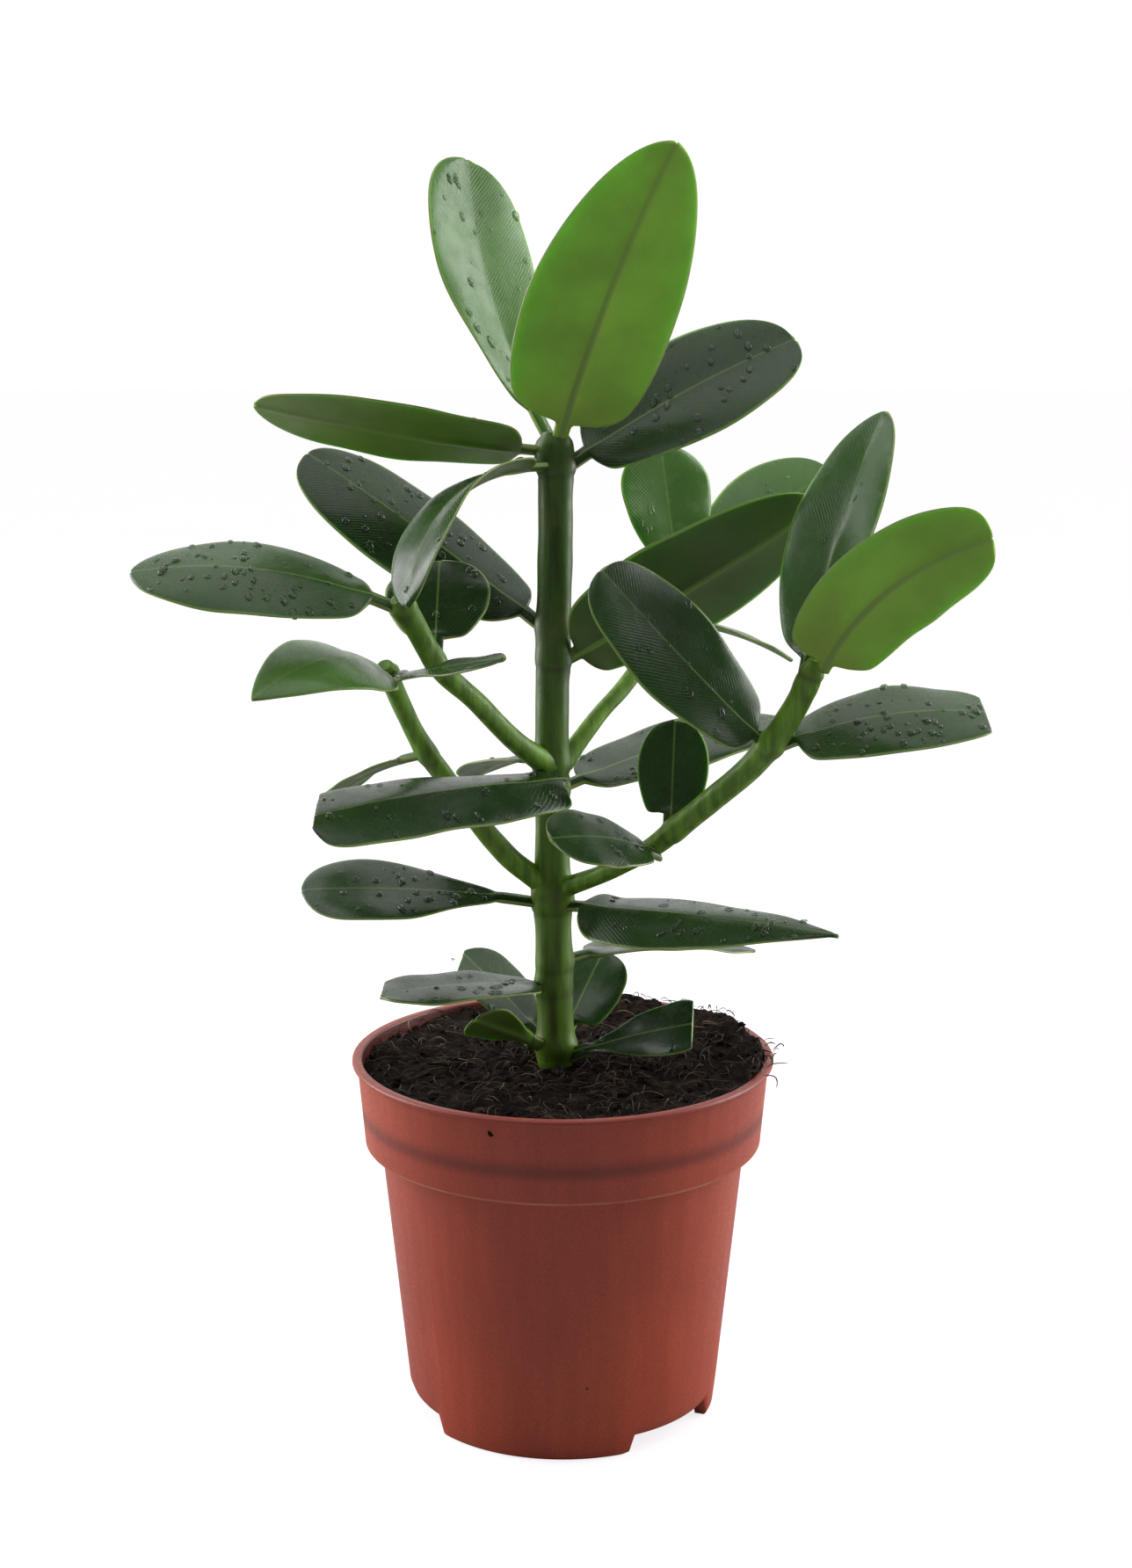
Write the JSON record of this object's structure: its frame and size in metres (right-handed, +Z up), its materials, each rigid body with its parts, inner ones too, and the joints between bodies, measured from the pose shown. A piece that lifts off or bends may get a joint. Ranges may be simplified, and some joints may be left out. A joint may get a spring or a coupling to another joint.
{
  "type": "potted autograph tree",
  "caption": "Young autograph tree with thick paddle-shaped leaves on a branched stem, planted in a round terracotta-coloured nursery pot.",
  "frame": {"origin": "centre of the pot's axis at the height of the surface it stands on, which is also the bottom centre of the bounding box", "axes": "+Z up along the stem, +X to the plant's right as seen from the front, the front faces -Y"},
  "size_m": [0.2256, 0.1294, 0.3554],
  "materials": {
    "pot_plastic": "satin moulded terracotta-coloured plastic",
    "soil": "rough, dark, fibrous potting soil",
    "stem": "smooth green stem with slight ridges",
    "leaf": "thick waxy leaf with a soft sheen"
  },
  "bodies": {
    "root": {"pot": "pot_plastic", "soil": "soil", "main_stem": "stem", "branch_left_low": "stem", "branch_left_high": "stem", "branch_right_high": "stem", "branch_right_low": "stem", "crown_front_leaf": "leaf", "crown_back_leaf": "leaf", "crown_right_leaf": "leaf", "crown_left_leaf": "leaf", "crown_front_left_leaf": "leaf", "middle_left_leaf": "leaf", "middle_right_leaf": "leaf", "branching_left_leaf": "leaf", "branching_right_leaf": "leaf", "branching_back_leaf": "leaf", "low_left_leaf": "leaf", "low_right_leaf": "leaf", "lowest_left_leaf": "leaf", "lowest_right_leaf": "leaf", "soil_left_back_leaf": "leaf", "soil_right_back_leaf": "leaf", "soil_left_front_leaf": "leaf", "soil_right_front_leaf": "leaf", "left_low_tip_leaf": "leaf", "left_low_small_leaf": "leaf", "left_low_inner_leaf": "leaf", "left_high_tip_leaf": "leaf", "left_high_round_leaf": "leaf", "right_high_left_leaf": "leaf", "right_high_right_leaf": "leaf", "right_high_low_leaf": "leaf", "right_low_tip_leaf": "leaf", "right_low_back_leaf": "leaf", "right_low_front_leaf": "leaf", "right_low_side_leaf": "leaf", "right_low_upright_leaf": "leaf", "right_low_inner_leaf": "leaf"}
  },
  "joints": []
}
